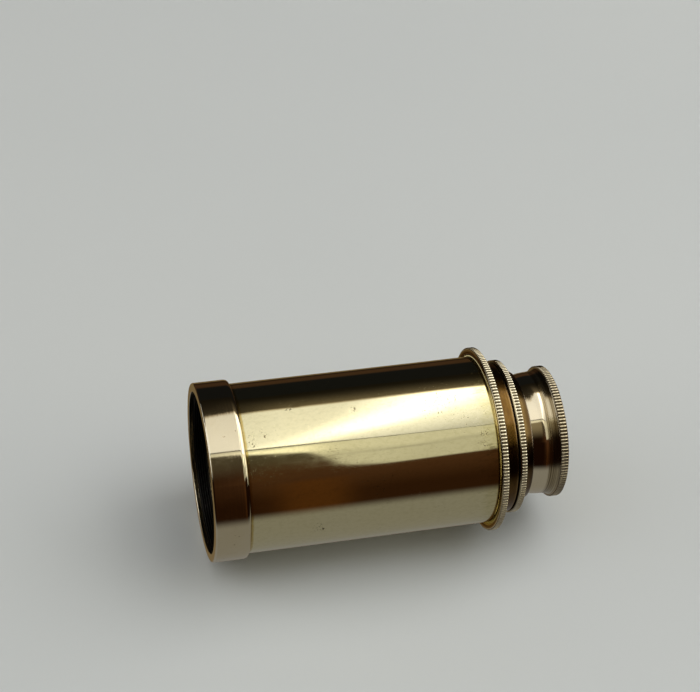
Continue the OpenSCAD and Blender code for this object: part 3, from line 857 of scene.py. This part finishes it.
add(turned("barrel_collar_knurled", rings, 425, 170, 11), "barrel",
    polished_brass("barrel_collar_brass", (0.84, 0.76, 0.55), 1.0, 0.3, 0.07,
                   # the neck's end face in the gap to the next collar is painted shade
                   black_and_shade_inside=[(16.15, 65.38, 65.6)],
                   groove=(60.84, 62.14, R1 - D1, R1),
                   # first entry, the neck: painted shade over its left 0.42 beside the knurled
                   # ring, and a painted gold highlight 0.6 mm wide at its rounded right end
                   aged=[(62.2, 65.6, 19.5, (0.150, 0.082, 0.017), 0.215, 0.42, 0.60, 1.0),
                         (60.7, 60.87, 19.6, (0.27, 0.142, 0.013), 0.20, 0.0, 0.0, 0.1),
                         (60.7, 60.87, 18.98, (0.80, 0.665, 0.33), 0.15, 0.0, 0.0, 0.2)]),
    POLISHED, "barrel_collar")

add(turned("barrel_collar_felt_lining", outline([
    (56.0, 15.14, 0.1), (64.75, 15.14, 0.1), (64.75, 15.7, 0.05), (56.0, 15.7, 0.05)]), 256),
    "barrel", felt, FELT, "barrel_collar_felt")

# first draw
add(turned("draw_1_tube_drawn", outline([
    (12.6, 14.4, 0.08), (65.6, 14.4, 0.05), (65.6, 15.1, 0.05), (12.6, 15.1, 0.12)],
    longest=1.1), 440, ripple=ripple_of(21, 0.004)),
    "draw_1", lacquered_brass("draw_1_brass", 15.1, [(16.0, 0.5, 0.2, (0.62, 0.43, 0.10)),
                                                      (65.3, 0.8, 0.3, (0.62, 0.43, 0.10))],
                              (0.83, 0.755, 0.46), 0.5, 0.14, [(30.0, 40.0, 1.6, 0.7),
                                                               (44.0, -25.0, 1.3, 0.6)]),
    BRASS, "draw_1_tube")

add(turned("draw_1_stop_ring_turned", outline([
    (12.6, 15.1, 0.04), (16.98, 15.1, 0.04), (16.98, 17.05, 0.06), (16.75, 17.3, 0.06),
    (12.85, 17.3, 0.06), (12.6, 17.05, 0.06)]), 320),
    "draw_1", polished_brass("stop_ring_brass", (0.86, 0.76, 0.50), 1.3, 0.5, 0.16),
    BRASS, "draw_1_stop_ring")
stop_brass = bpy.data.materials["stop_ring_brass"]

add(turned("draw_1_baffle_turned", outline([
    (13.1, 8.5, 0.04), (13.4, 8.5, 0.04), (13.8, 12.0, 0.1), (13.8, 14.4, 0.04),
    (13.1, 14.4, 0.04)]), 256), "draw_1", black, BLACK, "draw_1_baffle")

R2, D2 = 16.76, 0.30
collar = outline([
    (60.0, 12.7, 0.1), (61.0, 12.7, 0.05), (61.0, 13.2, 0.04), (68.8, 13.2, 0.04),
    (68.8, 12.7, 0.05), (69.5, 12.7, 0.14), (69.5, 13.62, 0.12), (69.38, 13.90, 0.16),
    (69.15, 14.01, 0.3), (67.2, 14.70, 0.14), (67.2, 15.9, 0.0),
    (65.6, 16.0, 0.0), (65.6, 15.8, 0.03), (65.47, 15.8, 0.05), (65.47, 15.1, 0.03),
    (65.62, 15.1, 0.02), (65.62, 14.4, 0.04), (60.3, 14.4, 0.1), (60.0, 14.1, 0.1)],
    longest=1.2)
cut_at = [i for i, p in enumerate(collar) if abs(p[1] - 15.9) < 1e-6 and p[0] > 67.1][0]
rings = [(*p, 0.0, False) for p in collar[:cut_at]]
rings += knurled(65.6, 67.2, 16.0, 15.9, R2 - D2, R2, 0.40, 0.08, (0.27, 0.07), rim=True)
rings += [(*p, 0.0, False) for p in collar[cut_at + 2:]]
add(turned("draw_1_collar_knurled", rings, 365, 146, 12), "draw_1",
    polished_brass("draw_1_collar_brass", (0.84, 0.76, 0.56), 1.0, 0.3, 0.07,
                   # the raised ring's face in the gap to the barrel collar, and the neck's end face
                   # by the cup: painted shade
                   black_and_shade_inside=[(16.42, 65.4, 65.61), (13.66, 69.44, 69.6)],
                   groove=(66.0, 67.14, R2 - D2, R2),
                   # first entry, the neck: painted shade over its right 0.75, darkening towards the
                   # cup
                   aged=[(67.15, 69.6, 16.25, (0.24, 0.155, 0.05), 0.185, -0.75, 0.0, 1.0),
                         (65.55, 65.97, 17.5, (0.46, 0.40, 0.25), 0.20, 0.0, 0.0, 0.3)]),
    POLISHED, "draw_1_collar")

add(turned("draw_1_collar_felt_lining", outline([
    (61.0, 12.64, 0.1), (68.8, 12.64, 0.1), (68.8, 13.2, 0.05), (61.0, 13.2, 0.05)]), 256),
    "draw_1", felt, FELT, "draw_1_collar_felt")

# second draw
add(turned("draw_2_tube_drawn", outline([
    (18.5, 12.0, 0.06), (71.4, 12.0, 0.05), (71.4, 12.6, 0.05), (18.5, 12.6, 0.12)],
    longest=1.2), 400, ripple=ripple_of(33, 0.003)),
    "draw_2", lacquered_brass("draw_2_brass", 12.6, [(21.6, 0.5, 0.2, (0.62, 0.43, 0.10)),
                                                      (69.5, 0.7, 0.3, (0.62, 0.43, 0.10))],
                              (0.83, 0.755, 0.47), 0.4, 0.16), BRASS, "draw_2_tube")

add(turned("draw_2_stop_ring_turned", outline([
    (18.5, 12.6, 0.04), (21.98, 12.6, 0.04), (21.98, 14.15, 0.05), (21.8, 14.35, 0.05),
    (18.7, 14.35, 0.05), (18.5, 14.15, 0.05)]), 320),
    "draw_2", stop_brass, BRASS, "draw_2_stop_ring")

SEAT = 3.6 - sag(22, 10.6) + 0.01
add(turned("erector_tube_turned", outline([
    (18.7, 11.2, 0.06), (19.9 + SEAT, 11.2, 0.03), (19.9 + SEAT, 10.6, 0.04),
    (36.5 - SEAT, 10.6, 0.04), (36.5 - SEAT, 11.2, 0.03), (37.7, 11.2, 0.06),
    (37.7, 12.0, 0.06), (18.7, 12.0, 0.06)]), 240), "draw_2", black, BLACK, "erector_tube")
lens("erector_front_lens_ground", lambda h: 19.9, lambda h: 23.5 - sag(22, h), 11.15,
     "draw_2", "erector_front_lens", 14)
lens("erector_rear_lens_ground", lambda h: 32.9 + sag(22, h), lambda h: 36.5, 11.15,
     "draw_2", "erector_rear_lens", 14)
for name, a, b, r0, r1, node in (
        ("erector_front_ring_turned", 18.9, 19.9, 10.0, 11.2, "erector_front_ring"),
        ("erector_stop_turned", 27.9, 28.5, 2.5, 10.6, "erector_stop"),
        ("erector_rear_ring_turned", 36.5, 37.5, 10.0, 11.2, "erector_rear_ring"),
        ("field_stop_turned", 60.0, 60.6, 4.0, 10.6, "field_stop"),
        ("field_lens_ring_turned", 54.8 - 1.0 - (3.6 - sag(22, 10.0) + 0.01),
         54.8 - (3.6 - sag(22, 10.0) + 0.01), 10.0, 11.2, "field_lens_ring")):
    add(turned(name, outline([(a, r0, 0.08), (b, r0, 0.08), (b, r1, 0.05), (a, r1, 0.05)]), 200),
        "draw_2", black, BLACK, node)
add(turned("eyepiece_tube_turned", outline([
    (50.0, 11.2, 0.06), (54.8, 11.2, 0.03), (54.8, 10.6, 0.04), (68.0, 10.6, 0.06),
    (68.0, 12.0, 0.06), (50.0, 12.0, 0.06)]), 240), "draw_2", black, BLACK, "eyepiece_tube")
lens("field_lens_ground", lambda h: 51.2 + sag(22, h), lambda h: 54.8, 11.15,
     "draw_2", "field_lens", 14)

# the cup: a polished swell with a gentle crest, then a flare with tool lines up to the cap
cup = [(69.52, 12.6, 0.05), (71.4, 12.6, 0.03), (71.4, 12.3, 0.03), (75.4, 12.3, 0.05),
       (75.4, 13.98, 0.05)]
cup += [(x, r, 0.0) for x, r in (
    (75.2, 13.86), (75.0, 13.76), (74.75, 13.66), (74.5, 13.575), (74.25, 13.505), (74.0, 13.45),
    (73.8, 13.415), (73.6, 13.392), (73.4, 13.378), (73.2, 13.372), (73.0, 13.370),
    (72.8, 13.367), (72.6, 13.358), (72.4, 13.343), (72.1, 13.311), (71.8, 13.271),
    (71.4, 13.211), (71.0, 13.147), (70.6, 13.081), (70.2, 13.014))]
cup += [(69.75, 12.94, 0.1), (69.52, 12.86, 0.05)]
add(turned("eyepiece_cup_turned", outline(cup, longest=0.5), 400, ripple=ripple_of(8, 0.004)),
    "draw_2", polished_brass("cup_brass_polished", (0.84, 0.745, 0.545), 0.8, 0.25, 0.05,
                             lined=(73.05, 75.5, 1.0)),
    POLISHED, "eyepiece_cup")

R3, D3 = 14.4, 0.30
cap = [(74.6, 3.2, 0.04), (75.9, 3.2, 0.14)]
for i in range(1, 16):
    r = 3.2 + 9.7 * i / 16
    cap.append((77.2 - 1.3 * (1 - ((r - 3.2) / 9.7) ** 2.5), r, 0.0))
cap += [(77.2, 12.9, 0.12), (77.2, 13.7, 0.0), (75.4, 13.7, 0.0), (75.4, 12.3, 0.05),
        (72.0, 12.3, 0.06), (72.0, 11.4, 0.06), (75.2, 11.4, 0.05), (75.2, 9.2, 0.05),
        (72.2, 9.2, 0.06), (72.2, 8.3, 0.06), (74.6, 8.3, 0.04)]
cap = outline(cap, longest=0.8)
cut_at = [i for i, p in enumerate(cap) if abs(p[1] - 13.7) < 1e-6 and p[0] > 77.1][0]
rings = [(*p, 0.0, False) for p in cap[:cut_at]]
rings += knurled(75.4, 77.2, 13.7, 13.7, R3 - D3, R3, 0.05, 0.16, (0.04, 0.14))
rings += [(*p, 0.0, False) for p in cap[cut_at + 2:]]
add(turned("eye_cap_knurled", rings, 305, 122, 13), "draw_2",
    polished_brass("eye_cap_brass", (0.70, 0.62, 0.45), 1.0, 0.3, 0.07,
                   groove=(75.43, 77.06, R3 - D3, R3), black_and_shade_inside=[(3.26, 74.0, 75.6)],
                   lined=(75.7, 77.15, 0.45)),
    POLISHED, "eye_cap")

lens("eye_lens_ground", lambda h: 71.7 + sag(16, h), lambda h: 74.6, 8.25, "draw_2", "eye_lens",
     14)
add(turned("eye_lens_ring_turned", outline([
    (72.4, 7.25, 0.06), (71.7 + sag(16, 7.25) - 0.01, 7.25, 0.03),
    (71.7 + sag(16, 7.25) - 0.01, 8.3, 0.03), (72.4, 8.3, 0.05)]), 200),
    "draw_2", black, BLACK, "eye_lens_ring")


# ---------------------------------------------------------------- stage

def floor():
    """A large pale table. It is tipped under one degree, so that the bezel and the barrel's
    knurled ring both rest on it."""
    slope = -0.91 / 60.8
    mesh = bpy.data.meshes.new("floor")
    side = 4.0
    z0 = (-19.165 - slope * 0.45) * MM
    mesh.from_pydata([(x, y, z0 + slope * x) for x, y in
                      ((-side, -side), (side, -side), (side, side), (-side, side))],
                     [], [(0, 1, 2, 3)])
    obj = bpy.data.objects.new("floor", mesh)
    scene.collection.objects.link(obj)
    g = Graph("floor_paper")
    at = g.node("ShaderNodeTexCoord").outputs["Object"]
    grain = g.noise(at, 900.0, 5.0, 0.7)
    wide = g.noise(at, 6.0, 2.0, 0.5)
    colour = g.blend(g.fit(wide, 0.3, 0.7, 0.0, 0.5), (0.650, 0.676, 0.680), (0.620, 0.650, 0.658))
    p = g.shader(Base_Color=colour, Roughness=g.fit(grain, 0.3, 0.7, 0.55, 0.7),
                 Normal=g.bump(grain, 0.00004, 0.25))
    p.inputs["Specular IOR Level"].default_value = 0.3
    mesh.materials.append(g.material)
    obj.visible_glossy = False


def card(name, lean, distance, lo, hi, x0, x1, glow):
    """A flat light above the telescope. lean is the direction of its middle from straight up
    towards -Y, and lo and hi its edges, in degrees, or lists of (x, degrees) where an edge is
    bent. glow(graph, x, v) gives colour and strength, with x in the frame and v across the card,
    both in metres."""
    a = math.radians(lean)
    out = Vector((0.0, -math.sin(a), math.cos(a)))
    across = Vector((0.0, -math.cos(a), -math.sin(a)))
    places = sorted({x0, x1} | set(np.linspace(0.0, 0.6, 61).round(3)))
    rows = []
    for limit in (lo, hi):
        bend = np.array(limit if isinstance(limit, list) else [(0.0, limit)], float)
        turn = np.interp(places, bend[:, 0], bend[:, 1])
        rows += [(x, distance * math.tan(math.radians(t - lean)), 0.0)
                 for x, t in zip(places, turn)]
    n = len(places)
    mesh = bpy.data.meshes.new(name)
    mesh.from_pydata(rows, [], [(i, i + 1, n + i + 1, n + i) for i in range(n - 1)])
    obj = bpy.data.objects.new(name, mesh)
    obj.matrix_world = Matrix.Translation(out * distance) @ Matrix(
        (Vector((1, 0, 0)), across, -out)).transposed().to_4x4()
    scene.collection.objects.link(obj)
    g = Graph(name)
    at = g.node("ShaderNodeTexCoord").outputs["Object"]
    parts = g.node("ShaderNodeSeparateXYZ")
    g.put(parts.inputs[0], at)
    colour, strength = glow(g, parts.outputs[0], parts.outputs[1])
    e = g.node("ShaderNodeEmission")
    g.put(e.inputs["Color"], colour)
    g.put(e.inputs["Strength"], strength)
    o = g.node("ShaderNodeOutputMaterial")
    g.tree.links.new(e.outputs[0], o.inputs["Surface"])
    mesh.materials.append(g.material)
    obj.visible_camera = False
    return obj


def glow_main(g, x, v):
    """Even soft light with one brighter slanting band, dimmer on the band's far side, stronger
    again at its right end, and a faint glow beyond its back edge."""
    middle = g.math("ADD", 0.242, g.math("MULTIPLY", g.math("SUBTRACT", 0.62, v), 0.117))
    width = g.fit(v, 0.62, -0.35, 0.036, 0.0625, smooth=False)
    aside = g.math("DIVIDE", g.math("SUBTRACT", x, middle), width)
    band = g.fit(g.math("ABSOLUTE", aside), 0.0, 1.6, 1.0, 0.0)
    band = g.math("MULTIPLY", band, g.fit(v, 0.80, 0.30, 0.35, 1.5, smooth=False))
    left = g.math("MULTIPLY", g.fit(v, -0.35, 0.40, 0.98, 1.10, smooth=False),
                  g.math("ADD", g.fit(x, 0.175, 0.20, 0.91, 1.0),
                         g.fit(x, 0.06, 0.12, 0.09, 0.0)))
    right = g.math("SUBTRACT", 1.34, g.math("MULTIPLY", g.math("SUBTRACT", x, 0.33), 2.8))
    right = g.math("SUBTRACT", right, g.math("MULTIPLY", g.math("SUBTRACT", v, 0.30), 0.9))
    right = g.math("MINIMUM", g.math("MAXIMUM", right, 0.66), 1.30)
    even = g.lerp(g.fit(aside, 0.0, 1.3), left, right)
    even = g.math("ADD", even, g.fit(x, 0.455, 0.58, 0.0, 1.5))
    shift = g.along(x, [(0.07, 0.29), (0.12, 0.15), (0.16, 0.06), (0.19, 0.0), (0.40, 0.0),
                        (0.44, 0.05), (0.56, 0.05), (0.62, 0.0)])
    edge = g.fit(g.math("SUBTRACT", v, shift), -0.585, g.along(x, [(0.07, -0.36), (0.13, -0.445)]),
                 0.0, 1.0)
    glow = g.fit(g.math("SUBTRACT", v, shift), -1.43, -0.545, 0.0, 1.0, smooth=False)
    glow = g.math("ADD", g.math("MULTIPLY", g.math("POWER", glow, 3.0),
                                g.fit(x, 0.17, 0.24, 0.03, 0.12)), 0.0078)
    strength = g.math("MULTIPLY", edge, g.math("ADD", even, band))
    colour = g.blend(edge, (1.25, 1.0, 0.66), (1.0, 0.992, 0.965))
    return colour, g.math("MAXIMUM", strength, glow)


def glow_front(g, x, v):
    """Dimmer even light with a soft near edge, one faint darker line and the slanting band's
    end; past its edge it is as brown as what lies behind it."""
    near = g.along(x, [(0.05, -0.20), (0.155, -0.20), (0.18, -0.13), (0.20, -0.075),
                       (0.215, -0.04), (0.235, 0.20), (0.25, 0.37), (0.264, 0.45), (0.29, 0.52),
                       (0.31, 0.555), (0.35, 0.545), (0.405, 0.52), (0.45, 0.10), (0.59, 0.10),
                       (0.63, 0.48), (0.70, 0.48), (0.75, -0.20), (1.02, -0.20), (1.08, 0.48)])
    edge = g.fit(g.math("SUBTRACT", v, near), -0.03, 0.03, 1.0, 0.0)
    line = g.math("ABSOLUTE", g.math("SUBTRACT", v, g.along(x, [(0.30, 0.128), (0.333, 0.125),
                                                                (0.36, 0.07)])))
    line = g.fit(line, 0.015, 0.042, g.along(x, [(0.25, 0.93), (0.28, 0.86), (0.30, 0.80),
                                                 (0.318, 0.84), (0.333, 0.94), (0.36, 0.91)]), 1.0)
    off = g.math("DIVIDE", g.math("ABSOLUTE", g.math("SUBTRACT", x, 0.185)), 0.06)
    band = g.math("MAXIMUM", g.fit(off, 0.3, 1.0, 1.0, 0.0), g.fit(x, 0.04, 0.10, 0.7, 0.0))
    band = g.math("MULTIPLY", band, g.fit(v, -0.26, -0.20, 0.3, 1.0))
    step = g.math("SUBTRACT", v, g.along(x, [(0.25, 0.0), (0.28, 0.04), (0.305, 0.08),
                                             (0.335, 0.04), (0.365, 0.0)]))
    strength = g.math("ADD", g.fit(step, -0.05, 0.05, 0.67, 0.56), g.math("MULTIPLY", band, 0.62))
    strength = g.math("ADD", strength, g.fit(x, 0.42, 0.56, 0.0, 1.5))
    strength = g.math("ADD", strength, g.along(x, [(0.215, 0.0), (0.24, 0.075), (0.285, 0.065),
                                                   (0.33, 0.0)]))
    lit = g.times((1.0, 0.973, 0.80), g.math("MULTIPLY", strength, line))
    share = g.along(x, [(0.05, 0.15), (0.12, 0.55), (0.155, 0.55), (0.18, 1.0), (0.40, 1.0),
                        (0.46, 0.3)])
    dusk = g.times((0.062, 0.0273, 0.0115), share)
    olive = g.times((0.068, 0.057, 0.036), g.along(x, [(0.03, 3.6), (0.095, 3.6), (0.12, 1.0)]))
    dusk = g.blend(g.fit(v, -0.10, 0.50, 0.0, 1.0), olive, dusk)
    return g.blend(edge, dusk, lit), 1.0


def side_card(name, x, y0, y1, z0, z1, strength):
    """A standing flat light beyond one end of the telescope."""
    mesh = bpy.data.meshes.new(name)
    mesh.from_pydata([(x, y0, z0), (x, y1, z0), (x, y1, z1), (x, y0, z1)], [], [(0, 1, 2, 3)])
    obj = bpy.data.objects.new(name, mesh)
    scene.collection.objects.link(obj)
    g = Graph(name)
    at = g.node("ShaderNodeTexCoord").outputs["Object"]
    parts = g.node("ShaderNodeSeparateXYZ")
    g.put(parts.inputs[0], at)
    e = g.node("ShaderNodeEmission")
    g.put(e.inputs["Color"], (1.0, 0.99, 0.96))
    g.put(e.inputs["Strength"], g.fit(parts.outputs[1], 0.3, 1.4, strength, strength * 0.35))
    o = g.node("ShaderNodeOutputMaterial")
    g.tree.links.new(e.outputs[0], o.inputs["Surface"])
    mesh.materials.append(g.material)
    obj.visible_camera = False


floor()
card("light_main", -10.0, 1.2, -60.0, [
    (0.178, 20.4), (0.208, 20.9), (0.232, 21.4), (0.264, 22.15), (0.294, 23.05), (0.317, 23.53),
    (0.342, 24.07), (0.365, 24.42), (0.407, 24.98), (0.445, 25.17)], -0.95, 1.38, glow_main)
card("light_front", 35.25, 1.2, [
    (0.150, 21.9), (0.180, 22.4), (0.197, 22.9), (0.224, 23.6), (0.251, 24.0), (0.271, 24.45),
    (0.292, 24.98), (0.313, 25.25), (0.346, 25.45), (0.358, 25.52), (0.380, 25.85)],
    64.0, -0.95, 1.38, glow_front)
side_card("light_left", -1.2, -0.55, 1.6, 0.32, 1.0, 1.9)
side_card("light_right", 1.40, -0.75, 0.75, 0.10, 1.30, 1.3)

world = bpy.data.worlds.new("studio")
scene.world = world
world.use_nodes = True
g = Graph("studio", world.node_tree)
way = g.node("ShaderNodeTexCoord").outputs["Generated"]
parts = g.node("ShaderNodeSeparateXYZ")
g.put(parts.inputs[0], way)
wx, wy, wz = parts.outputs
# what the metal reflects: dark above the back, brown low all round, pale again near the floor
ahead_of = g.fit(wy, 0.10, -0.25, 0.0, 1.0)
brown = g.blend(g.fit(wz, 0.5, -0.1), (0.062, 0.027, 0.0115), (0.026, 0.010, 0.0036))
warm = g.math("MULTIPLY", g.fit(wx, 0.14, 0.155), g.fit(wx, 0.17, 0.19, 1.0, 0.0))
brown = g.blend(g.math("MULTIPLY", warm, g.fit(wz, 0.40, 0.28, 0.0, 0.8)), brown,
                (0.080, 0.029, 0.0062))
aside = g.along(wx, [(0.04, 0.96), (0.09, 0.5), (0.125, 0.5), (0.137, 0.0), (0.268, 0.0),
                     (0.29, 0.9)])
brown = g.blend(aside, brown, (0.007, 0.0024, 0.0009))
back = g.blend(g.fit(wz, 0.02, -0.10), (0.0078, 0.0079, 0.0080), (0.050, 0.026, 0.013))
back = g.blend(g.fit(wz, -0.24, -0.33), back, (0.022, 0.011, 0.005))
back = g.blend(g.fit(wz, -0.40, -0.46), back, (0.17, 0.12, 0.055))
dim = g.blend(ahead_of, back, brown)
dim = g.blend(g.fit(wz, 0.55, 0.9, 0.0, 1.0), dim, (0.16, 0.16, 0.15))
low = g.math("MAXIMUM", g.math("MULTIPLY", g.fit(wz, -0.30, -0.55), ahead_of),
             g.fit(wz, -0.74, -0.90))
dim = g.blend(low, dim, (0.22, 0.215, 0.20))
path = g.node("ShaderNodeLightPath")
light = g.blend(path.outputs["Is Diffuse Ray"], dim, (0.30, 0.31, 0.31))
shade = g.node("ShaderNodeBackground")
g.put(shade.inputs["Color"], g.blend(path.outputs["Is Camera Ray"], light, (0.50, 0.53, 0.53)))
o = g.node("ShaderNodeOutputWorld")
g.tree.links.new(shade.outputs[0], o.inputs["Surface"])
